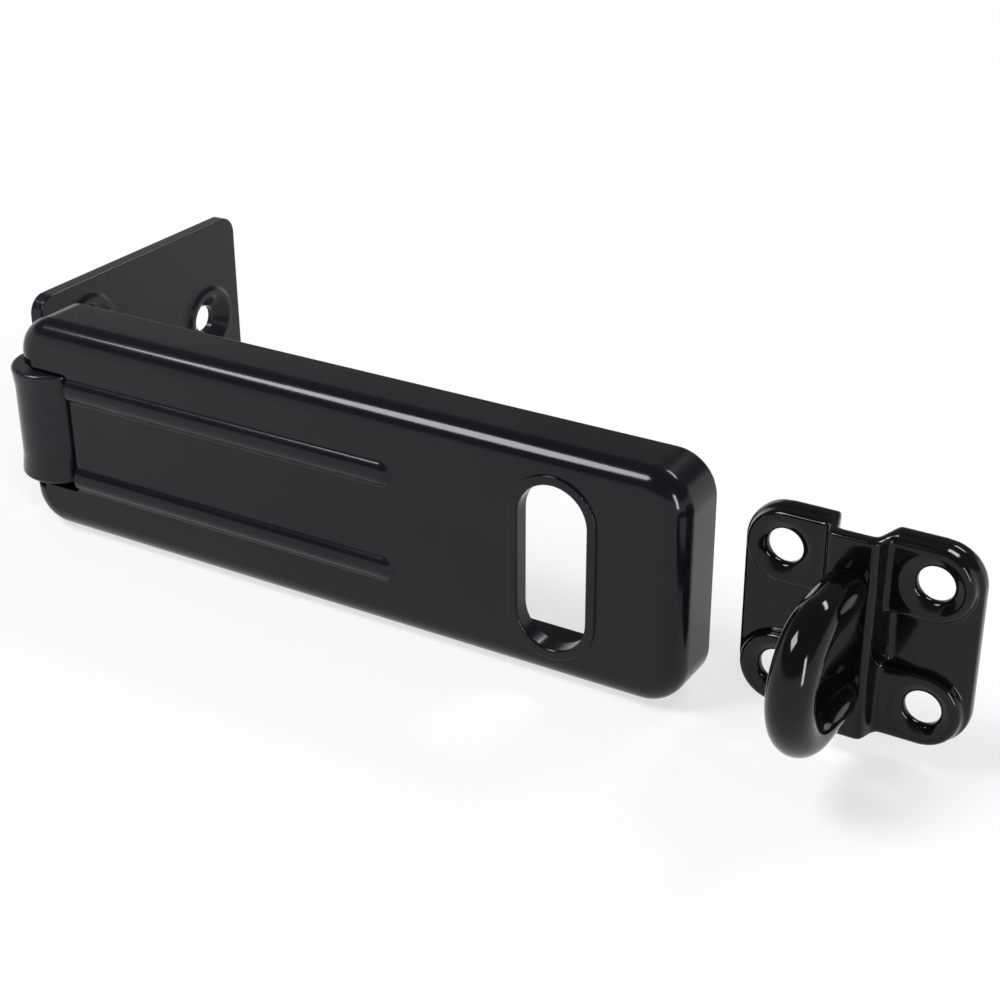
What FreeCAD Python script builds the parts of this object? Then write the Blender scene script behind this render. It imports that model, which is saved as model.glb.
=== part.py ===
import FreeCAD, Part
import Sketcher
import math
import os

# A hasp for a door or gate, in millimetres: a pressed strap that swings on a mounting leaf, and a
# staple plate with its staple. The hinge has no separate pin: the strap's end is rolled into a bar,
# and the leaf's tongue is curled round it.
#
# World frame: Z runs up along the hinge. X = 0 is the leaf's back face, which lies on the door.
# Y = 0, Z = 0 is the middle of the leaf's hinge-side pair of screws. The strap stands out along +X,
# with its front towards -Y, as it does when the hasp is half open.
#
# Each piece is drawn about its own reference point: the strap and the leaf about the hinge axis, the
# staple plate and the staple about the middle of the plate's back face.

SIZES = (
    # Strap: one pressed pan, open at its back.
    ("strap_length", 115),
    ("strap_height", 35),
    ("strap_depth", 10.2),
    ("strap_sheet", 2.3),
    ("strap_corner", 6),
    ("strap_edge_round", 3.5),
    ("strap_rim_round", 0.4),
    ("slot_from_free_end", 19.3),
    ("slot_width", 10.6),
    ("slot_end_margin", 5),
    ("slot_round", 0.4),
    ("lip_width", 1.5),
    ("lip_rise", 0.35),
    ("lip_round", 0.25),
    ("bead_spacing", 15),
    ("bead_slot_gap", 18.9),
    ("bead_width", 3.8),
    ("bead_rise", 1),
    ("bead_round", 0.7),
    ("groove_width", 2.6),
    ("groove_depth", 0.7),
    # Hinge: the strap's rolled bar in its window, and the leaf's curled knuckle round it.
    ("axis_inset", 3.5),
    ("window_height", 20),
    ("window_corner", 1),
    ("window_clearance", 0.3),
    ("bar_radius", 3.9),
    ("bar_tail_radius", 3),
    ("hinge_clearance", 0.4),
    ("closed_clearance", 0.2),
    ("swing_clearance", 0.3),
    ("knuckle_clearance", 0.8),
    ("knuckle_flare", 0.4),
    ("knuckle_flare_length", 3.4),
    ("knuckle_round", 0.6),
    ("curl_angle", 290),
    # Mounting leaf.
    ("leaf_sheet", 2.2),
    ("leaf_height", 34),
    ("leaf_corner", 3),
    ("leaf_edge_round", 0.3),
    ("leaf_setback", 1),
    ("leaf_pair_offset", 14.1),
    ("leaf_pair_spacing", 17),
    ("leaf_far_hole_offset", 30),
    ("leaf_far_margin", 8.6),
    ("leaf_ring_clearance", 0.2),
    ("leaf_ring_slope", 1),
    ("leaf_ring_crest", 0.8),
    ("leaf_ring_rise", 0.8),
    ("leaf_land", 1.2),
    ("screw_hole", 4.9),
    # Staple plate.
    ("plate_sheet", 2.2),
    ("plate_holes_across", 20),
    ("plate_holes_up", 18),
    ("plate_side_margin", 5.9),
    ("plate_end_margin", 5.4),
    ("plate_corner", 5.6),
    ("plate_edge_round", 0.3),
    ("pad_inset", 0.2),
    ("pad_rise", 1.8),
    ("pad_round", 0.8),
    ("pad_dish_depth", 0.8),
    ("pad_dish_margin", 1.1),
    ("pad_wall", 1.1),
    ("crest_round", 0.25),
    ("recess_inner_margin", 0.8),
    ("recess_depth", 0.5),
    ("channel_rise", 4.3),
    ("channel_web_width", 6.6),
    ("channel_foot_width", 9.3),
    ("channel_wall", 1.5),
    ("channel_round", 1),
    # Staple.
    ("staple_bar", 6.1),
    ("staple_spacing", 15.4),
    ("staple_leg", 9.2),
    ("neck_diameter", 5),
    ("neck_length", 2),
    ("tenon_diameter", 3.6),
    ("tenon_clearance", 0.05),
    ("head_diameter", 4.4),
    ("head_height", 1.2),
    ("head_round", 0.3),
    # Where the staple plate stands: its gap to the strap's free end, and forward of the strap's back.
    ("plate_gap", 5.5),
    ("plate_forward", 1),
)

# Distances that follow from the sizes, as formulas over the sheet.
STRAP_LEFT = "(-dim.axis_inset)"
STRAP_RIGHT = "(dim.strap_length - dim.axis_inset)"
KNUCKLE_INSIDE = "(dim.bar_radius + dim.hinge_clearance)"
KNUCKLE_OUTSIDE = f"({KNUCKLE_INSIDE} + dim.leaf_sheet)"
KNUCKLE_FLARED = f"({KNUCKLE_OUTSIDE} + dim.knuckle_flare)"
KNUCKLE_TOP = "(dim.window_height/2 - dim.knuckle_clearance)"
STRAP_BACK = f"({KNUCKLE_INSIDE} + dim.leaf_setback - dim.closed_clearance)"
STRAP_FRONT = f"({STRAP_BACK} - dim.strap_depth)"
FACE_INSIDE = f"({STRAP_FRONT} + dim.strap_sheet)"
WINDOW_RIGHT = f"({KNUCKLE_FLARED} + dim.window_clearance)"
SLOT_CENTRE = f"({STRAP_RIGHT} - dim.slot_from_free_end)"
LEAF_BACK = f"(-{KNUCKLE_OUTSIDE} - dim.leaf_setback)"
LEAF_FRONT = f"({LEAF_BACK} + dim.leaf_sheet)"
LEAF_FAR_EDGE = "(dim.leaf_pair_offset + dim.leaf_far_hole_offset + dim.leaf_far_margin)"
# The strap's back corner swings past the leaf's full-height plate, which starts beyond its reach.
LEAF_START = (
    f"(sqrt(max(dim.axis_inset^2 + {STRAP_BACK}^2 - {LEAF_FRONT}^2; 0)) + dim.swing_clearance)"
)
LEAF_CREST = f"({LEAF_FRONT} + dim.leaf_ring_rise)"
# A ring stays inside the closed strap's side wall.
LEAF_RING = (
    "(dim.strap_height/2 - dim.strap_sheet - dim.leaf_pair_spacing/2 - dim.leaf_ring_clearance)"
)
PAD_RADIUS = "(dim.plate_end_margin - dim.pad_inset)"
PLATE_HALF_WIDTH = "(dim.plate_holes_across/2 + dim.plate_side_margin)"
PLATE_HALF_HEIGHT = "(dim.plate_holes_up/2 + dim.plate_end_margin)"
PAD_FRONT = "(-dim.plate_sheet - dim.pad_rise)"
WEB_FRONT = "(-dim.plate_sheet - dim.channel_rise)"
WEB_INSIDE = "(-dim.channel_rise)"
STAPLE_BEND = f"({WEB_FRONT} - dim.staple_leg)"
TOUCH = 1e-4

doc = FreeCAD.newDocument("hasp")


def make_sheet():
    sheet = doc.addObject("Spreadsheet::Sheet", "dim")
    for row, (alias, number) in enumerate(SIZES, start=1):
        sheet.set(f"A{row}", alias)
        sheet.set(f"B{row}", str(number))
        sheet.setAlias(f"B{row}", alias)
    doc.recompute()
    return sheet


dim = make_sheet()


def value(formula):
    """The number that a formula over the sheet gives."""
    return float(dim.evalExpression(formula))


def add_sketch(body, name, role, across="0", up="0", away="0"):
    """An empty sketch on one of the body's origin planes, moved in that plane and off it."""
    sketch = body.newObject("Sketcher::SketchObject", name)
    plane = next(item for item in body.Origin.OriginFeatures if item.Role == role)
    sketch.AttachmentSupport = [(plane, "")]
    sketch.MapMode = "FlatFace"
    for axis, formula in zip("xyz", (across, up, away)):
        sketch.setExpression(f"AttachmentOffset.Base.{axis}", formula)
    return sketch


def pin_coordinate(sketch, kind, axis, geometry, point, formula):
    """Holds one coordinate of a sketch point at a formula, or on the sketch's own axis."""
    if formula == "0":
        sketch.addConstraint(Sketcher.Constraint("PointOnObject", geometry, point, axis))
        return
    held = sketch.addConstraint(Sketcher.Constraint(kind, -1, 1, geometry, point, value(formula)))
    sketch.setExpression(f"Constraints[{held}]", formula)


def pin_point(sketch, geometry, point, x, y):
    pin_coordinate(sketch, "DistanceX", -2, geometry, point, x)
    pin_coordinate(sketch, "DistanceY", -1, geometry, point, y)


def pin_radius(sketch, geometry, formula):
    held = sketch.addConstraint(Sketcher.Constraint("Radius", geometry, value(formula)))
    sketch.setExpression(f"Constraints[{held}]", formula)


def draw_outline(sketch, corners):
    """A closed outline of straight lines through corners, each a pair of formulas."""
    points = [FreeCAD.Vector(value(x), value(y), 0) for x, y in corners]
    lines = [
        sketch.addGeometry(Part.LineSegment(start, end))
        for start, end in zip(points, points[1:] + points[:1])
    ]
    for line, following in zip(lines, lines[1:] + lines[:1]):
        sketch.addConstraint(Sketcher.Constraint("Coincident", line, 2, following, 1))
    for line, (x, y) in zip(lines, corners):
        pin_point(sketch, line, 1, x, y)


def draw_rectangle(sketch, left, bottom, right, top):
    draw_outline(sketch, ((left, bottom), (right, bottom), (right, top), (left, top)))


def draw_circle(sketch, x, y, radius):
    centre = FreeCAD.Vector(value(x), value(y), 0)
    circle = sketch.addGeometry(Part.Circle(centre, FreeCAD.Vector(0, 0, 1), value(radius)))
    pin_point(sketch, circle, 3, x, y)
    pin_radius(sketch, circle, radius)


def draw_stadium(sketch, start, end, radius):
    """A straight-sided outline with round ends centred at start and end, each a pair of formulas."""
    first, last = (FreeCAD.Vector(value(x), value(y), 0) for x, y in (start, end))
    up = FreeCAD.Vector(0, 0, 1)
    size = value(radius)
    side = up.cross((last - first).normalize()) * size
    turn = math.atan2(side.y, side.x)
    near = sketch.addGeometry(
        Part.ArcOfCircle(Part.Circle(first, up, size), turn, turn + math.pi)
    )
    far = sketch.addGeometry(Part.ArcOfCircle(Part.Circle(last, up, size), turn - math.pi, turn))
    right = sketch.addGeometry(Part.LineSegment(first - side, last - side))
    left = sketch.addGeometry(Part.LineSegment(last + side, first + side))
    sketch.addConstraint(Sketcher.Constraint("Tangent", near, 2, right, 1))
    sketch.addConstraint(Sketcher.Constraint("Tangent", right, 2, far, 1))
    sketch.addConstraint(Sketcher.Constraint("Tangent", far, 2, left, 1))
    sketch.addConstraint(Sketcher.Constraint("Tangent", left, 2, near, 1))
    sketch.addConstraint(Sketcher.Constraint("Equal", near, far))
    pin_point(sketch, near, 3, *start)
    pin_point(sketch, far, 3, *end)
    pin_radius(sketch, near, radius)


def draw_half_capsule(sketch, left, right, radius):
    """Half a capsule over the sketch's level axis, with round ends centred at left and right."""
    up = FreeCAD.Vector(0, 0, 1)
    start, end, size = value(left), value(right), value(radius)
    tips = [FreeCAD.Vector(start - size, 0, 0), FreeCAD.Vector(end + size, 0, 0)]
    tops = [FreeCAD.Vector(start, size, 0), FreeCAD.Vector(end, size, 0)]
    base = sketch.addGeometry(Part.LineSegment(tips[0], tips[1]))
    crown = sketch.addGeometry(Part.LineSegment(tops[1], tops[0]))
    far = sketch.addGeometry(
        Part.ArcOfCircle(Part.Circle(FreeCAD.Vector(end, 0, 0), up, size), 0, math.pi / 2)
    )
    near = sketch.addGeometry(
        Part.ArcOfCircle(Part.Circle(FreeCAD.Vector(start, 0, 0), up, size), math.pi / 2, math.pi)
    )
    sketch.addConstraint(Sketcher.Constraint("Coincident", base, 2, far, 1))
    sketch.addConstraint(Sketcher.Constraint("Tangent", far, 2, crown, 1))
    sketch.addConstraint(Sketcher.Constraint("Tangent", crown, 2, near, 1))
    sketch.addConstraint(Sketcher.Constraint("Coincident", near, 2, base, 1))
    sketch.addConstraint(Sketcher.Constraint("Horizontal", crown))
    pin_point(sketch, far, 3, right, "0")
    pin_point(sketch, near, 3, left, "0")
    pin_coordinate(sketch, "DistanceY", -1, base, 1, "0")
    pin_coordinate(sketch, "DistanceY", -1, base, 2, "0")
    pin_radius(sketch, far, radius)


def pad(body, sketch, length, symmetric=False):
    feature = body.newObject("PartDesign::Pad", sketch.Name + "_pad")
    feature.Profile = sketch
    feature.SideType = "Symmetric" if symmetric else "One side"
    feature.setExpression("Length", length)
    doc.recompute()
    return feature


def pocket(body, sketch, length=None):
    """Cuts the sketch away against its plane's normal: right through where no length is given."""
    before = body.Shape.Volume
    feature = body.newObject("PartDesign::Pocket", sketch.Name + "_pocket")
    feature.Profile = sketch
    if length is None:
        feature.Type = "ThroughAll"
    else:
        feature.setExpression("Length", length)
    doc.recompute()
    must_change(feature, feature.Shape.Volume < before)
    return feature


def revolve(body, kind, sketch, axis, angle="360"):
    """A Revolution or a Groove of the sketch about one of its own axes."""
    before = body.Shape.Volume if body.Tip else 0
    feature = body.newObject(f"PartDesign::{kind}", sketch.Name + "_turned")
    feature.Profile = sketch
    feature.ReferenceAxis = (sketch, [axis])
    feature.setExpression("Angle", angle)
    doc.recompute()
    grown = feature.Shape.Volume > before
    must_change(feature, grown if kind == "Revolution" else not grown)
    return feature


def must_change(feature, changed):
    if not changed:
        raise RuntimeError(f"{feature.Name} leaves its piece as it was")


def round_edges(body, name, radius, chosen):
    """A fillet on each edge of the body that chosen accepts."""
    base = body.Tip
    names = [f"Edge{n}" for n, edge in enumerate(base.Shape.Edges, start=1) if chosen(edge)]
    if not names:
        raise RuntimeError(f"{name} finds no edge")
    feature = body.newObject("PartDesign::Fillet", name)
    feature.Base = (base, names)
    feature.setExpression("Radius", radius)
    doc.recompute()
    must_change(feature, not feature.Shape.isNull())
    return feature


def lies_at(edge, axis, place):
    """Whether the whole edge lies in the plane where that axis has that place."""
    box = edge.BoundBox
    low, high = getattr(box, axis + "Min"), getattr(box, axis + "Max")
    return abs(low - place) < TOUCH and abs(high - place) < TOUCH


def runs_along(edge, axis):
    """Whether the edge is a straight line along that axis."""
    if edge.Curve.TypeId != "Part::GeomLine":
        return False
    return abs(abs(getattr(edge.Curve.Direction, axis.lower())) - 1) < TOUCH


def is_ring(edge, radius):
    return edge.Curve.TypeId == "Part::GeomCircle" and abs(edge.Curve.Radius - radius) < TOUCH


def new_body(name):
    body = doc.addObject("PartDesign::Body", name)
    body.Label = name
    return body


def place(body, x, y):
    body.setExpression("Placement.Base.x", x)
    body.setExpression("Placement.Base.y", y)


# Strap

BEAD_RADIUS = "((dim.bead_width^2/4 + dim.bead_rise^2)/(2*dim.bead_rise))"
BEAD_AXIS = f"({STRAP_FRONT} - dim.bead_rise + {BEAD_RADIUS})"
GROOVE_RADIUS = "((dim.groove_width^2/4 + dim.groove_depth^2)/(2*dim.groove_depth))"
GROOVE_AXIS = f"({FACE_INSIDE} - dim.groove_depth + {GROOVE_RADIUS})"
BEAD_LEFT = f"({WINDOW_RIGHT} - dim.bead_width)"
BEAD_RIGHT = (
    f"({SLOT_CENTRE} - dim.slot_width/2 - dim.lip_width - dim.bead_slot_gap - dim.bead_width/2)"
)


def make_pan(body):
    """The strap's pan: a block with rounded corners and front edges, hollowed from its back."""
    outline = add_sketch(body, "pan_outline", "XZ_Plane", away=f"-{STRAP_BACK}")
    half = "dim.strap_height/2"
    draw_rectangle(outline, STRAP_LEFT, f"-{half}", STRAP_RIGHT, half)
    pad(body, outline, "dim.strap_depth")
    round_edges(body, "pan_corners", "dim.strap_corner", lambda edge: runs_along(edge, "Y"))
    front = value(STRAP_FRONT)
    round_edges(body, "pan_front", "dim.strap_edge_round", lambda edge: lies_at(edge, "Y", front))
    base = body.Tip
    back = value(STRAP_BACK)
    open_faces = [
        f"Face{n}"
        for n, face in enumerate(base.Shape.Faces, start=1)
        if abs(face.BoundBox.YMin - back) < TOUCH
    ]
    hollow = body.newObject("PartDesign::Thickness", "pan_hollow")
    hollow.Base = (base, open_faces)
    hollow.Reversed = True
    hollow.setExpression("Value", "dim.strap_sheet")
    doc.recompute()
    must_change(hollow, hollow.Shape.Volume < base.Shape.Volume)
    round_edges(body, "pan_rim", "dim.strap_rim_round", lambda edge: lies_at(edge, "Y", back))


def press_beads(body):
    """Two stiffening beads along the face, each with the groove that the punch leaves behind it."""
    bead_sketch = add_sketch(body, "bead", "XZ_Plane", up="dim.bead_spacing/2", away=f"-{BEAD_AXIS}")
    draw_half_capsule(bead_sketch, BEAD_LEFT, BEAD_RIGHT, BEAD_RADIUS)
    bead = revolve(body, "Revolution", bead_sketch, "H_Axis", "180")
    groove_sketch = add_sketch(
        body, "bead_groove", "XZ_Plane", up="dim.bead_spacing/2", away=f"-{GROOVE_AXIS}"
    )
    draw_half_capsule(groove_sketch, BEAD_LEFT, BEAD_RIGHT, GROOVE_RADIUS)
    groove = revolve(body, "Groove", groove_sketch, "H_Axis")
    mirrored = body.newObject("PartDesign::Mirrored", "second_bead")
    mirrored.Originals = [bead, groove]
    plane = next(item for item in body.Origin.OriginFeatures if item.Role == "XY_Plane")
    mirrored.MirrorPlane = (plane, [""])
    body.Tip = mirrored
    doc.recompute()
    front = value(STRAP_FRONT)
    reach = value("dim.bead_spacing/2 + dim.bead_width/2") + TOUCH
    round_edges(
        body,
        "bead_feet",
        "dim.bead_round",
        lambda edge: lies_at(edge, "Y", front) and abs(edge.CenterOfMass.z) < reach,
    )


def cut_slot(body):
    """The slot that goes over the staple, with a raised lip round it."""
    reach = "(dim.strap_height/2 - dim.slot_end_margin - dim.slot_width/2)"
    ends = ((SLOT_CENTRE, f"-{reach}"), (SLOT_CENTRE, reach))
    lip_front = f"({STRAP_FRONT} - dim.lip_rise)"
    lip = add_sketch(body, "slot_lip", "XZ_Plane", away=f"-{STRAP_FRONT}")
    draw_stadium(lip, *ends, "(dim.slot_width/2 + dim.lip_width)")
    pad(body, lip, "dim.lip_rise")
    level = value(lip_front)
    round_edges(body, "lip_edge", "dim.lip_round", lambda edge: lies_at(edge, "Y", level))
    slot = add_sketch(body, "slot", "XZ_Plane", away=f"-{lip_front}")
    draw_stadium(slot, *ends, "(dim.slot_width/2)")
    pocket(body, slot)
    near, far = value(SLOT_CENTRE + " - dim.slot_width"), value(SLOT_CENTRE + " + dim.slot_width")
    inner = value("dim.slot_width/2") + TOUCH
    middle = value(SLOT_CENTRE)

    def at_slot_mouth(edge):
        if not near < edge.CenterOfMass.x < far or not lies_at(edge, "Y", level):
            return False
        return max(abs(edge.BoundBox.XMin - middle), abs(edge.BoundBox.XMax - middle)) < inner

    round_edges(body, "slot_mouth", "dim.slot_round", at_slot_mouth)


def cut_window(body):
    """The window at the hinge end, through the face and the end wall."""
    window = add_sketch(body, "window", "XZ_Plane", away=f"-({STRAP_FRONT} - dim.bead_rise)")
    half = "dim.window_height/2"
    draw_rectangle(window, f"({STRAP_LEFT} - dim.strap_sheet)", f"-{half}", WINDOW_RIGHT, half)
    pocket(body, window)
    right = value(WINDOW_RIGHT)
    side = value(half)

    def at_corner(edge):
        middle = edge.CenterOfMass
        return (
            runs_along(edge, "Y")
            and abs(middle.x - right) < TOUCH
            and abs(abs(middle.z) - side) < TOUCH
        )

    round_edges(body, "window_corners", "dim.window_corner", at_corner)


def roll_bar(body):
    """The rolled bar across the window, on the hinge axis, with thinner tails inside the pan."""
    bar = add_sketch(body, "bar", "XZ_Plane")
    side = "dim.window_height/2"
    wall = "(dim.strap_height/2 - dim.strap_sheet)"
    draw_outline(
        bar,
        (
            ("0", f"-{wall}"),
            ("dim.bar_tail_radius", f"-{wall}"),
            ("dim.bar_tail_radius", f"-{side}"),
            ("dim.bar_radius", f"-{side}"),
            ("dim.bar_radius", side),
            ("dim.bar_tail_radius", side),
            ("dim.bar_tail_radius", wall),
            ("0", wall),
        ),
    )
    revolve(body, "Revolution", bar, "V_Axis")


def make_strap():
    body = new_body("strap")
    make_pan(body)
    press_beads(body)
    cut_slot(body)
    cut_window(body)
    roll_bar(body)
    return body


# Screw holes of the leaf and of the staple plate

SCREW_RADIUS = "(dim.screw_hole/2)"


def dish_hole(body, name, plane, centre, levels, dish_radius):
    """A screw hole dished for the screw's head.

    The sketch's level axis is the hole's own axis, and centre is its place on that plane. levels
    are the crest, the land at the bottom of the dish and the back, along that axis.
    """
    crest, land, back = levels
    dish = add_sketch(body, name, plane, *centre)
    draw_outline(
        dish,
        (
            (crest, "0"),
            (crest, dish_radius),
            (land, SCREW_RADIUS),
            (back, SCREW_RADIUS),
            (back, "0"),
        ),
    )
    return revolve(body, "Groove", dish, "H_Axis")


# Mounting leaf


def curl_knuckle(body):
    """The tongue's end, curled round the strap's bar and flared at both ends."""
    section = add_sketch(body, "knuckle", "XZ_Plane")
    taper = f"({KNUCKLE_TOP} - dim.knuckle_flare_length)"
    draw_outline(
        section,
        (
            (f"-{KNUCKLE_INSIDE}", f"-{KNUCKLE_TOP}"),
            (f"-{KNUCKLE_INSIDE}", KNUCKLE_TOP),
            (f"-{KNUCKLE_FLARED}", KNUCKLE_TOP),
            (f"-{KNUCKLE_OUTSIDE}", taper),
            (f"-{KNUCKLE_OUTSIDE}", f"-{taper}"),
            (f"-{KNUCKLE_FLARED}", f"-{KNUCKLE_TOP}"),
        ),
    )
    revolve(body, "Revolution", section, "V_Axis", "dim.curl_angle")
    top = value(KNUCKLE_TOP)
    flared = value(KNUCKLE_FLARED)
    round_edges(
        body,
        "knuckle_rims",
        "dim.knuckle_round",
        lambda edge: is_ring(edge, flared) and abs(abs(edge.CenterOfMass.z) - top) < TOUCH,
    )


def joggle_tongue(body):
    """The stretch of tongue that steps back from the knuckle to the leaf's plate."""
    section = add_sketch(body, "tongue", "XY_Plane")
    draw_outline(
        section,
        (
            (f"-{KNUCKLE_INSIDE}", "0"),
            (f"-{KNUCKLE_OUTSIDE}", "0"),
            (LEAF_BACK, LEAF_START),
            (LEAF_FRONT, LEAF_START),
        ),
    )
    pad(body, section, f"2*({KNUCKLE_TOP} - dim.knuckle_round)", symmetric=True)


def flatten_leaf(body):
    """The leaf's flat plate, with rounded corners."""
    outline = add_sketch(body, "leaf_outline", "YZ_Plane", away=LEAF_BACK)
    half = "dim.leaf_height/2"
    draw_rectangle(outline, LEAF_START, f"-{half}", LEAF_FAR_EDGE, half)
    pad(body, outline, "dim.leaf_sheet")
    side = value(half)
    round_edges(
        body,
        "leaf_corners",
        "dim.leaf_corner",
        lambda edge: runs_along(edge, "X") and abs(abs(edge.CenterOfMass.z) - side) < TOUCH,
    )
    front = value(LEAF_FRONT)
    round_edges(
        body,
        "leaf_edge",
        "dim.leaf_edge_round",
        lambda edge: lies_at(edge, "X", front) and abs(abs(edge.CenterOfMass.z) - side) < TOUCH,
    )


def raise_ring(body, name, along, up):
    """A raised ring round a dished screw hole, with the shallow recess that pressing leaves behind."""
    centre = ("0", along, up)
    crest_outside = f"({LEAF_RING} - dim.leaf_ring_slope)"
    ring = add_sketch(body, name + "_ring", "XY_Plane", *centre)
    middle = f"({LEAF_FRONT} - dim.leaf_sheet/2)"
    draw_outline(
        ring,
        (
            (middle, "0"),
            (middle, LEAF_RING),
            (LEAF_FRONT, LEAF_RING),
            (LEAF_CREST, crest_outside),
            (LEAF_CREST, "0"),
        ),
    )
    revolve(body, "Revolution", ring, "H_Axis")
    levels = (LEAF_CREST, f"({LEAF_BACK} + dim.leaf_land)", LEAF_BACK)
    dish_hole(body, name, "XY_Plane", centre, levels, f"({crest_outside} - dim.leaf_ring_crest)")
    recess = add_sketch(body, name + "_recess", "XY_Plane", *centre)
    bottom = f"({LEAF_BACK} + dim.recess_depth)"
    inner = f"({SCREW_RADIUS} + dim.recess_inner_margin)"
    draw_outline(
        recess,
        (
            (LEAF_BACK, inner),
            (LEAF_BACK, crest_outside),
            (bottom, f"({crest_outside} - dim.recess_depth)"),
            (bottom, f"({inner} + dim.recess_depth)"),
        ),
    )
    revolve(body, "Groove", recess, "H_Axis")


def make_leaf():
    body = new_body("mounting_leaf")
    curl_knuckle(body)
    joggle_tongue(body)
    flatten_leaf(body)
    far = "(dim.leaf_pair_offset + dim.leaf_far_hole_offset)"
    raise_ring(body, "upper_hole", "dim.leaf_pair_offset", "dim.leaf_pair_spacing/2")
    raise_ring(body, "lower_hole", "dim.leaf_pair_offset", "-dim.leaf_pair_spacing/2")
    raise_ring(body, "far_hole", far, "0")
    level = value(LEAF_CREST)
    round_edges(body, "ring_crests", "dim.crest_round", lambda edge: lies_at(edge, "X", level))
    return body


# Staple plate


def make_flat(body):
    outline = add_sketch(body, "plate_outline", "XZ_Plane")
    draw_rectangle(
        outline,
        f"-{PLATE_HALF_WIDTH}",
        f"-{PLATE_HALF_HEIGHT}",
        PLATE_HALF_WIDTH,
        PLATE_HALF_HEIGHT,
    )
    pad(body, outline, "dim.plate_sheet")
    round_edges(body, "plate_corners", "dim.plate_corner", lambda edge: runs_along(edge, "Y"))
    front = value("-dim.plate_sheet")
    round_edges(body, "plate_edge", "dim.plate_edge_round", lambda edge: lies_at(edge, "Y", front))


def press_pads(body):
    """Two raised pads, one along each row of holes, each hole dished and hollow behind."""
    side = "(dim.plate_holes_across/2)"
    row = "(dim.plate_holes_up/2)"
    pads = add_sketch(body, "pads", "XZ_Plane", away="dim.plate_sheet")
    for height in (row, f"-{row}"):
        draw_stadium(pads, (f"-{side}", height), (side, height), PAD_RADIUS)
    pad(body, pads, "dim.pad_rise")
    level = value(PAD_FRONT)
    round_edges(body, "pad_edges", "dim.pad_round", lambda edge: lies_at(edge, "Y", level))
    centre = ("0", row, side)
    levels = (PAD_FRONT, f"({PAD_FRONT} + dim.pad_dish_depth)", "0")
    dish_radius = f"({PAD_RADIUS} - dim.pad_dish_margin)"
    dish = dish_hole(body, "pad_hole", "YZ_Plane", centre, levels, dish_radius)
    hollow = add_sketch(body, "pad_hollow", "YZ_Plane", *centre)
    draw_rectangle(hollow, "-dim.pad_rise", "0", "0", f"({PAD_RADIUS} - dim.pad_wall)")
    hollowed = revolve(body, "Groove", hollow, "H_Axis")
    mirrors = []
    for name, role in (("holes_across", "YZ_Plane"), ("holes_down", "XY_Plane")):
        mirror = doc.addObject("PartDesign::Mirrored", name)
        plane = next(item for item in body.Origin.OriginFeatures if item.Role == role)
        mirror.MirrorPlane = (plane, [""])
        mirrors.append(mirror)
    every_hole = body.newObject("PartDesign::MultiTransform", "every_hole")
    every_hole.Originals = [dish, hollowed]
    every_hole.Transformations = mirrors
    body.Tip = every_hole
    doc.recompute()
    ring = value(dish_radius)
    round_edges(
        body,
        "dish_rims",
        "dim.crest_round",
        lambda edge: is_ring(edge, ring) and lies_at(edge, "Y", level),
    )


def press_channel(body):
    """The hat channel up the plate's middle, which carries the staple."""
    foot = "(dim.channel_foot_width/2)"
    web = "(dim.channel_web_width/2)"
    hat = add_sketch(body, "channel", "XY_Plane")
    draw_outline(
        hat,
        (
            (f"-{foot}", "-dim.plate_sheet"),
            (f"-{web}", WEB_FRONT),
            (web, WEB_FRONT),
            (foot, "-dim.plate_sheet"),
            (foot, "-dim.plate_sheet/2"),
            (f"-{foot}", "-dim.plate_sheet/2"),
        ),
    )
    pad(body, hat, f"2*{PLATE_HALF_HEIGHT}", symmetric=True)
    slope = f"(({foot} - {web})/dim.channel_rise)"
    hollow_foot = f"({foot} + dim.plate_sheet*{slope} - dim.channel_wall)"
    hollow_web = f"({web} + dim.plate_sheet*{slope} - dim.channel_wall)"
    hollow = add_sketch(body, "hollow", "XY_Plane", away=PLATE_HALF_HEIGHT)
    draw_outline(
        hollow,
        (
            (f"-{hollow_foot}", "0"),
            (f"-{hollow_web}", WEB_INSIDE),
            (hollow_web, WEB_INSIDE),
            (hollow_foot, "0"),
        ),
    )
    pocket(body, hollow)
    front = value(WEB_FRONT)
    round_edges(
        body,
        "channel_bends",
        "dim.channel_round",
        lambda edge: runs_along(edge, "Z") and lies_at(edge, "Y", front),
    )


def make_staple_plate():
    body = new_body("staple_plate")
    make_flat(body)
    press_pads(body)
    press_channel(body)
    holes = add_sketch(body, "tenon_holes", "XZ_Plane", away=f"-{WEB_FRONT}")
    radius = "(dim.tenon_diameter/2 + dim.tenon_clearance)"
    draw_circle(holes, "0", "dim.staple_spacing/2", radius)
    draw_circle(holes, "0", "-dim.staple_spacing/2", radius)
    pocket(body, holes, "dim.plate_sheet")
    return body


# Staple


NECK = f"({WEB_FRONT} - dim.neck_length)"


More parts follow.
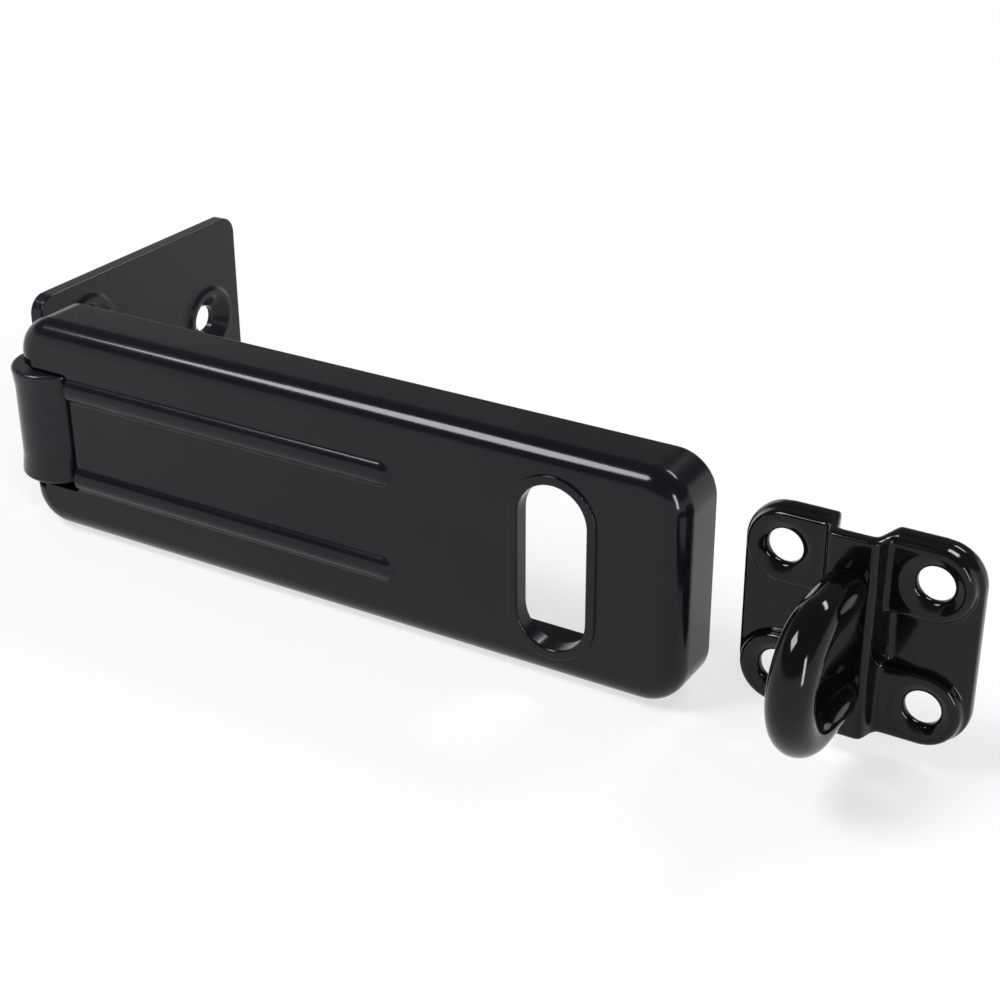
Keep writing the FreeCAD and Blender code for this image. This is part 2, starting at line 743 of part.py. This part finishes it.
def bend_bar(body):
    """The staple's bar: two straight legs and a half circle between them."""
    leg = "(dim.staple_spacing/2)"
    path = add_sketch(body, "staple_path", "YZ_Plane")
    foot, bend, side = value(NECK), value(STAPLE_BEND), value(leg)
    upper = path.addGeometry(
        Part.LineSegment(FreeCAD.Vector(foot, side, 0), FreeCAD.Vector(bend, side, 0))
    )
    arc = path.addGeometry(
        Part.ArcOfCircle(
            Part.Circle(FreeCAD.Vector(bend, 0, 0), FreeCAD.Vector(0, 0, 1), side),
            math.pi / 2,
            3 * math.pi / 2,
        )
    )
    lower = path.addGeometry(
        Part.LineSegment(FreeCAD.Vector(bend, -side, 0), FreeCAD.Vector(foot, -side, 0))
    )
    path.addConstraint(Sketcher.Constraint("Tangent", upper, 2, arc, 1))
    path.addConstraint(Sketcher.Constraint("Tangent", arc, 2, lower, 1))
    pin_point(path, upper, 1, NECK, leg)
    pin_point(path, lower, 2, NECK, f"-{leg}")
    pin_point(path, arc, 3, STAPLE_BEND, "0")
    section = add_sketch(body, "staple_section", "XZ_Plane", away=f"-{NECK}")
    draw_circle(section, "0", leg, "(dim.staple_bar/2)")
    pipe = body.newObject("PartDesign::AdditivePipe", "staple_bend")
    pipe.Profile = section
    pipe.Spine = (path, [])
    doc.recompute()


def rivet_leg(body, name, height):
    """A leg's foot: its neck on the channel's web, its tenon through it, and its head behind it."""
    foot = add_sketch(body, name, "YZ_Plane", up=height)
    back = f"({WEB_INSIDE} + dim.head_height)"
    draw_outline(
        foot,
        (
            (NECK, "0"),
            (NECK, "(dim.staple_bar/2)"),
            (WEB_FRONT, "(dim.neck_diameter/2)"),
            (WEB_FRONT, "(dim.tenon_diameter/2)"),
            (WEB_INSIDE, "(dim.tenon_diameter/2)"),
            (WEB_INSIDE, "(dim.head_diameter/2)"),
            (back, "(dim.head_diameter/2)"),
            (back, "0"),
        ),
    )
    revolve(body, "Revolution", foot, "H_Axis")


def make_staple():
    body = new_body("staple")
    bend_bar(body)
    rivet_leg(body, "upper_foot", "dim.staple_spacing/2")
    rivet_leg(body, "lower_foot", "-dim.staple_spacing/2")
    back = value(f"{WEB_INSIDE} + dim.head_height")
    round_edges(body, "head_edges", "dim.head_round", lambda edge: lies_at(edge, "Y", back))
    return body


def check(pieces):
    """Stops where an object failed, or where a piece isn't one sound solid."""
    for item in doc.Objects:
        if "Invalid" in item.State or "Error" in item.State:
            raise RuntimeError(f"{item.Name} is {item.State}")
    for piece in pieces:
        shape = piece.Shape
        if shape.isNull() or not shape.isValid() or len(shape.Solids) != 1:
            raise RuntimeError(f"{piece.Label} isn't one sound solid")


def main():
    strap = make_strap()
    leaf = make_leaf()
    plate = make_staple_plate()
    staple = make_staple()
    axis_x, axis_y = f"-{LEAF_BACK}", "-dim.leaf_pair_offset"
    plate_x = f"({axis_x} + {STRAP_RIGHT} + dim.plate_gap + {PLATE_HALF_WIDTH})"
    plate_y = f"({axis_y} + {STRAP_BACK} - dim.plate_forward)"
    place(strap, axis_x, axis_y)
    place(leaf, axis_x, axis_y)
    place(plate, plate_x, plate_y)
    place(staple, plate_x, plate_y)
    doc.recompute()
    pieces = (strap, leaf, plate, staple)
    check(pieces)
    os.makedirs("parts", exist_ok=True)
    for piece in pieces:
        piece.Shape.exportStep(f"parts/{piece.Label}.step")


main()
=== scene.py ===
import math

import bmesh
import bpy
from mathutils import Matrix, Vector


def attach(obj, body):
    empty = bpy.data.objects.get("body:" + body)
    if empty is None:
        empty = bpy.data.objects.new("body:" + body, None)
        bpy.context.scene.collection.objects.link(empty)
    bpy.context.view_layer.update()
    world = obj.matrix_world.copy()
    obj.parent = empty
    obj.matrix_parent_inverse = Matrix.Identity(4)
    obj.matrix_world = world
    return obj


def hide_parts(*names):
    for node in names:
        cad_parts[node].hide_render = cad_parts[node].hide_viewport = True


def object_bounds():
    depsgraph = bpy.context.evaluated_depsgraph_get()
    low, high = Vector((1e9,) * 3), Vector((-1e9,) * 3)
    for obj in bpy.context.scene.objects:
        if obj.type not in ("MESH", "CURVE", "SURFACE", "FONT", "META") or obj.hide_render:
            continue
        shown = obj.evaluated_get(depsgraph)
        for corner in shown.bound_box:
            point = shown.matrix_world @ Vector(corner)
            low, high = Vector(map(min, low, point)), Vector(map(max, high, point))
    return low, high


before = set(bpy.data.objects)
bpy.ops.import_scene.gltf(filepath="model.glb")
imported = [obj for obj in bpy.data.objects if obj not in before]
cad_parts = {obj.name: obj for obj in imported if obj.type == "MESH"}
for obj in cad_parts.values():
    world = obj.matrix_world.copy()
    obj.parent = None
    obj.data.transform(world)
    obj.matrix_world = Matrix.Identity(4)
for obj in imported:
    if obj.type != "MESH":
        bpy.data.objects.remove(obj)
cad_box = [list(corner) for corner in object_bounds()]


# Strap: the long steel pan of the hasp, pressed from one sheet, with two stiffening beads, a slot
# for the staple and a rolled bar at its hinge end. Its thin black coat is dipped and baked, satin
# on the flats and glossier over the rounded edges.

STRAP_BLACK = (0.0035, 0.0038, 0.0055, 1)
STRAP_DUSTY = (0.0060, 0.0064, 0.0085, 1)
STRAP_ROUGHNESS = (0.26, 0.32)

# The grain of every coat. Its scales are in repeats to a metre.
PATCH_SCALE = 55
PATCH_DETAIL = 3
PATCH_GRAIN = 0.6
DULL_RANGE = (0.42, 0.68)
SPECK_SCALE = 1900
RIPPLE_SCALE = 420
FINE_DETAIL = 2

# How much of each part of the grain shows in the colour, in the gloss and in the relief.
DULL_SHARE = 0.6
SPECK_SHARE = 0.4
SPECK_MIDDLE = 0.5
SPECK_GLOSS = 0.04
SPECK_HEIGHT = 0.25
RIPPLE_DEPTH = 0.0001
VARNISH_ROUGHNESS = 0.10

# A colour Mix node takes its two colours at the first two of these sockets, and gives the third.
FIRST_COLOUR = 6
SECOND_COLOUR = 7
MIXED_COLOUR = 2

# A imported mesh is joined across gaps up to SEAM_GAP, and its faces where they are flat within
# FLAT_WITHIN. An edge that turns by more than CREASE stays crisp.
SEAM_GAP = 1e-6
FLAT_WITHIN = math.radians(0.05)
CREASE = math.radians(28)
LARGE_FACE_WEIGHT = 100


class Socket:
    """An output of a shader node, so that the maths of a finish reads as plain arithmetic."""

    def __init__(self, finish, link):
        self.finish = finish
        self.link = link

    def maths(self, operation, first, second):
        return self.finish.node("ShaderNodeMath", {"operation": operation}, {0: first, 1: second})

    def __add__(self, other):
        return self.maths("ADD", self, other)

    def __sub__(self, other):
        return self.maths("SUBTRACT", self, other)

    def __rsub__(self, other):
        return self.maths("SUBTRACT", other, self)

    def __mul__(self, other):
        return self.maths("MULTIPLY", self, other)

    __radd__ = __add__
    __rmul__ = __mul__


class Finish:
    """A material or world under construction, whose nodes are added one call at a time."""

    def __init__(self, carrier):
        self.carrier = carrier
        carrier.use_nodes = True
        self.nodes = carrier.node_tree.nodes
        self.links = carrier.node_tree.links
        self.nodes.clear()

    def node(self, kind, settings=None, inputs=None, output=0):
        """Adds a node, sets it up, then fills its sockets with numbers, colours or links."""
        made = self.nodes.new(kind)
        for name, setting in (settings or {}).items():
            if name == "stops":
                ramp = made.color_ramp.elements
                ramp[0].position, ramp[-1].position = setting
            else:
                setattr(made, name, setting)
        for name, given in (inputs or {}).items():
            if isinstance(given, Socket):
                self.links.new(given.link, made.inputs[name])
            else:
                made.inputs[name].default_value = given
        return Socket(self, made.outputs[output]) if made.outputs else made


def baked_coat(name, colours, roughness, specular, varnish, peel, edge_gloss=0.0):
    """A dipped and baked black coat: faint orange peel, dull patches and glossier rounded edges."""
    finish = Finish(bpy.data.materials.new(name))
    place = finish.node("ShaderNodeTexCoord", output="Object")
    patches = finish.node(
        "ShaderNodeTexNoise",
        inputs={
            "Vector": place,
            "Scale": PATCH_SCALE,
            "Detail": PATCH_DETAIL,
            "Roughness": PATCH_GRAIN,
        },
    )
    fine = {"Vector": place, "Detail": FINE_DETAIL}
    specks = finish.node("ShaderNodeTexNoise", inputs={**fine, "Scale": SPECK_SCALE})
    ripple = finish.node("ShaderNodeTexNoise", inputs={**fine, "Scale": RIPPLE_SCALE})
    dull = finish.node("ShaderNodeValToRGB", {"stops": DULL_RANGE}, {"Fac": patches})

    # Flatness is 1 where a face looks straight along an axis, and a half or less on a rounded edge.
    facing = finish.node("ShaderNodeTexCoord", output="Normal")
    squares = finish.node("ShaderNodeVectorMath", {"operation": "MULTIPLY"}, {0: facing, 1: facing})
    flatness = finish.node(
        "ShaderNodeVectorMath", {"operation": "DOT_PRODUCT"}, {0: squares, 1: squares}, output="Value"
    )

    black, dusty = colours
    body = finish.node(
        "ShaderNodeMix",
        {"data_type": "RGBA"},
        {0: dull * DULL_SHARE + specks * SPECK_SHARE, FIRST_COLOUR: black, SECOND_COLOUR: dusty},
        output=MIXED_COLOUR,
    )
    sharp, soft = roughness
    face_roughness = sharp + dull * (soft - sharp) + (specks - SPECK_MIDDLE) * SPECK_GLOSS
    relief = finish.node(
        "ShaderNodeBump",
        inputs={
            "Strength": peel,
            "Distance": RIPPLE_DEPTH,
            "Height": ripple + specks * SPECK_HEIGHT,
        },
    )
    shader = finish.node(
        "ShaderNodeBsdfPrincipled",
        inputs={
            "Base Color": body,
            "Roughness": face_roughness * (1 - (1 - flatness) * edge_gloss),
            "Normal": relief,
            "Specular IOR Level": specular,
            "Coat Weight": varnish,
            "Coat Roughness": VARNISH_ROUGHNESS,
        },
    )
    finish.node("ShaderNodeOutputMaterial", inputs={"Surface": shader})
    return finish.carrier


def dressed(node, body, finish):
    """A piece's finished surface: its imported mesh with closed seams, joined flats and a coat."""
    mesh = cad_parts[node].data.copy()
    joined = bmesh.new()
    joined.from_mesh(mesh)
    bmesh.ops.remove_doubles(joined, verts=joined.verts, dist=SEAM_GAP)
    bmesh.ops.dissolve_limit(
        joined,
        angle_limit=FLAT_WITHIN,
        verts=joined.verts,
        edges=joined.edges,
        delimit={"NORMAL"},
    )
    joined.to_mesh(mesh)
    joined.free()
    piece = bpy.data.objects.new(node + "_coated", mesh)
    bpy.context.scene.collection.objects.link(piece)
    mesh.materials.clear()
    mesh.materials.append(finish)
    mesh.shade_smooth()
    mesh.set_sharp_from_angle(angle=CREASE)
    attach(piece, body)
    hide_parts(node)
    return piece


def evened(piece):
    """Lets a piece's large faces lead the shading at their edges, so that flats reflect as flats."""
    even = piece.modifiers.new("even_normals", "WEIGHTED_NORMAL")
    even.mode = "FACE_AREA"
    even.weight = LARGE_FACE_WEIGHT
    even.keep_sharp = True


strap_coat = baked_coat(
    "strap_coat",
    (STRAP_BLACK, STRAP_DUSTY),
    STRAP_ROUGHNESS,
    specular=0.09,
    varnish=0.30,
    peel=0.05,
    edge_gloss=0.7,
)
strap = dressed("strap", "strap", strap_coat)
evened(strap)


# Mounting leaf: the plate that screws to the door, with its tongue curled round the strap's bar. It
# is blanked and formed from one sheet, and its flats are duller than the strap's.

LEAF_BLACK = (0.0075, 0.0085, 0.0105, 1)
LEAF_DUSTY = (0.0115, 0.0130, 0.0155, 1)
LEAF_ROUGHNESS = (0.32, 0.40)

leaf_coat = baked_coat(
    "leaf_coat",
    (LEAF_BLACK, LEAF_DUSTY),
    LEAF_ROUGHNESS,
    specular=0.18,
    varnish=0.1,
    peel=0.10,
    edge_gloss=1.0,
)
leaf = dressed("mounting_leaf", "base", leaf_coat)
evened(leaf)


# Staple plate: the pressed plate that screws to the frame, with a channel up its middle and raised,
# dished pads. Its coat is thick, wet-looking and glossy, and has flowed round every pressed edge.

PLATE_BLACK = (0.0020, 0.0020, 0.0023, 1)
PLATE_DUSTY = (0.0035, 0.0035, 0.0038, 1)
PLATE_ROUGHNESS = (0.08, 0.12)
COAT_GRID = 0.00018
COAT_FLOW_STEP = 0.5
COAT_FLOW_ROUNDS = 46

plate_coat = baked_coat(
    "plate_coat",
    (PLATE_BLACK, PLATE_DUSTY),
    PLATE_ROUGHNESS,
    specular=0.20,
    varnish=0.1,
    peel=0.04,
)
plate = dressed("staple_plate", "base", plate_coat)
even_grid = plate.modifiers.new("coat_grid", "REMESH")
even_grid.mode = "VOXEL"
even_grid.voxel_size = COAT_GRID
even_grid.use_smooth_shade = True
flow = plate.modifiers.new("coat_flow", "SMOOTH")
flow.factor = COAT_FLOW_STEP
flow.iterations = COAT_FLOW_ROUNDS


# Staple: a thick round bar bent to a U, whose two legs pass through the plate's channel and are
# headed over behind it. It is coated together with the plate, and is just as glossy.

STAPLE_BLACK = (0.0020, 0.0020, 0.0023, 1)
STAPLE_DUSTY = (0.0035, 0.0035, 0.0038, 1)
STAPLE_ROUGHNESS = (0.07, 0.10)

staple_coat = baked_coat(
    "staple_coat",
    (STAPLE_BLACK, STAPLE_DUSTY),
    STAPLE_ROUGHNESS,
    specular=0.20,
    varnish=0.1,
    peel=0.04,
)
staple = dressed("staple", "base", staple_coat)
evened(staple)


# Floor: a wide sheet of matt white board that the hasp's lower edges stand on. To the eye and in
# reflections it glows a little, as if lit from below, so that the hasp's shadow stays soft.

FLOOR_WHITE = (0.93, 0.93, 0.93, 1)
GLOW_WHITE = (1, 1, 1, 1)
FLOOR_GLOW = 0.65
FLOOR_REACH = 2.4
FLOOR_GAP = 0.0002

floor_level = cad_box[0][2] - FLOOR_GAP
board = bmesh.new()
bmesh.ops.create_grid(
    board,
    x_segments=1,
    y_segments=1,
    size=FLOOR_REACH,
    matrix=Matrix.Translation((0, 0, floor_level)),
)
floor_mesh = bpy.data.meshes.new("floor")
board.to_mesh(floor_mesh)
board.free()
floor = bpy.data.objects.new("floor", floor_mesh)
bpy.context.scene.collection.objects.link(floor)

matt = Finish(bpy.data.materials.new("floor_board"))
card = matt.node("ShaderNodeBsdfDiffuse", inputs={"Color": FLOOR_WHITE})
glow = matt.node("ShaderNodeEmission", inputs={"Color": GLOW_WHITE, "Strength": 1.0})
seen = (
    matt.node("ShaderNodeLightPath", output="Is Camera Ray")
    + matt.node("ShaderNodeLightPath", output="Is Glossy Ray")
    + matt.node("ShaderNodeLightPath", output="Is Transmission Ray")
)
lit_board = matt.node("ShaderNodeMixShader", inputs={0: seen * FLOOR_GLOW, 1: card, 2: glow})
matt.node("ShaderNodeOutputMaterial", inputs={"Surface": lit_board})
floor_mesh.materials.append(matt.carrier)


# Studio: a soft box high on the left, a tall one low on the right and a wide one high behind, with
# pale walls all round that darken towards the ceiling. The walls' heights are those of the line of
# sight, from 0 at eye level to 1 straight up.

LEFT_BOX = {"at": (-1.50, -1.20, 2.72), "size": (1.30, 1.00), "watts": 82}
RIGHT_BOX = {"at": (2.255, -1.324, 0.78), "size": (0.34, 1.50), "watts": 42}
BACK_BOX = {"at": (0.775, 2.436, 2.60), "size": (1.40, 0.44), "watts": 31}
AIM = Vector((0.075, -0.012, 0))
WALL_COLOUR = (1, 1, 1, 1)
WALL_WHITE = 1.0
WALL_TOP = 0.18
CEILING_GREY = 0.15
CEILING_EDGE = 0.38


def hang_lamp(name, at, size, watts):
    """Hangs a soft box of a size in metres at a place, turned to face the hasp."""
    lamp = bpy.data.lights.new(name, "AREA")
    lamp.shape = "RECTANGLE"
    lamp.size, lamp.size_y = size
    lamp.energy = watts
    hung = bpy.data.objects.new(name, lamp)
    bpy.context.scene.collection.objects.link(hung)
    hung.location = at
    hung.rotation_euler = (AIM - Vector(at)).to_track_quat("-Z", "Y").to_euler()


hang_lamp("left_box", **LEFT_BOX)
hang_lamp("right_box", **RIGHT_BOX)
hang_lamp("back_box", **BACK_BOX)

room = Finish(bpy.data.worlds.new("room"))
direction = room.node("ShaderNodeTexCoord", output="Generated")
height = room.node("ShaderNodeSeparateXYZ", inputs={"Vector": direction}, output="Z")
brightness = room.node(
    "ShaderNodeMapRange",
    {"interpolation_type": "SMOOTHSTEP"},
    {
        "Value": height,
        "From Min": WALL_TOP,
        "From Max": CEILING_EDGE,
        "To Min": WALL_WHITE,
        "To Max": CEILING_GREY,
    },
)
walls = room.node("ShaderNodeBackground", inputs={"Color": WALL_COLOUR, "Strength": brightness})
room.node("ShaderNodeOutputWorld", inputs={"Surface": walls})
bpy.context.scene.world = room.carrier


# Camera: it stands where the photograph was taken, a little above the hasp and to its right, with a
# lens of about 69 mm on a frame 36 mm wide. It is rolled by a quarter of a degree.

CAMERA_AZIMUTH = math.radians(30.89)
CAMERA_ELEVATION = math.radians(26.81)
CAMERA_ROLL = math.radians(-0.25)
CAMERA_DISTANCE = 0.26964
CAMERA_TARGET = Vector((0.08620, -0.010, 0.00299))
FRAME_WIDTH = 36.0
FOCAL_SHARE = 1.9133
NEAREST_SEEN = 0.01

away = Vector(
    (
        math.sin(CAMERA_AZIMUTH) * math.cos(CAMERA_ELEVATION),
        -math.cos(CAMERA_AZIMUTH) * math.cos(CAMERA_ELEVATION),
        math.sin(CAMERA_ELEVATION),
    )
)
level = (-away).cross(Vector((0, 0, 1))).normalized()
upright = level.cross(-away)
right = level * math.cos(CAMERA_ROLL) + upright * math.sin(CAMERA_ROLL)
up = upright * math.cos(CAMERA_ROLL) - level * math.sin(CAMERA_ROLL)
lens = bpy.data.cameras.new("camera")
lens.sensor_width = FRAME_WIDTH
lens.lens = FOCAL_SHARE * FRAME_WIDTH
lens.clip_start = NEAREST_SEEN
camera = bpy.data.objects.new("camera", lens)
bpy.context.scene.collection.objects.link(camera)
turned = Matrix((right, up, away)).transposed().to_4x4()
camera.matrix_world = Matrix.Translation(CAMERA_TARGET + away * CAMERA_DISTANCE) @ turned
bpy.context.scene.camera = camera
bpy.context.scene.view_settings.view_transform = "Standard"
